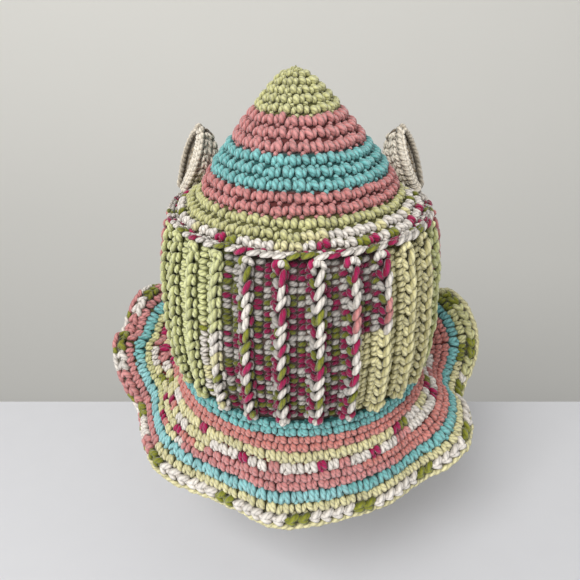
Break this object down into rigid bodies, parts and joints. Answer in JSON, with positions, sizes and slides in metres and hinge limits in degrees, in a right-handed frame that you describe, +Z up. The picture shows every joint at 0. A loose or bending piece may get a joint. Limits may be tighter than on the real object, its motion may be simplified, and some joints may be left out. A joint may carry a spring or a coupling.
{
  "type": "pixie hood",
  "caption": "Crocheted pixie hood with a pointed striped crown, a tall ribbed band, a wavy striped brim and cupped ears.",
  "frame": {"origin": "centre of the head opening, at the height where the band ends and the brim begins", "axes": "+Z up along the axis of the crown, -Y at the nape, +Y at the face, +X at the wearer's right"},
  "size_m": [0.2708, 0.2459, 0.2497],
  "materials": {
    "crown_yarn": "matt crocheted yarn, striped pale green, pink and aqua",
    "chain_yarn": "matt crocheted yarn, white with magenta and olive",
    "band_yarn": "matt crocheted ribs, pale green and variegated",
    "brim_yarn": "matt crocheted yarn, striped aqua, pink, green and variegated",
    "edging_yarn": "matt crocheted yarn, white, olive and pale green",
    "ear_yarn": "matt cream crocheted yarn"
  },
  "bodies": {
    "root": {"crown": "crown_yarn", "chain_line": "chain_yarn", "ribbed_band": "band_yarn", "ruffle_brim": "brim_yarn", "brim_edging": "edging_yarn", "left_ear": "ear_yarn", "right_ear": "ear_yarn"}
  },
  "joints": []
}
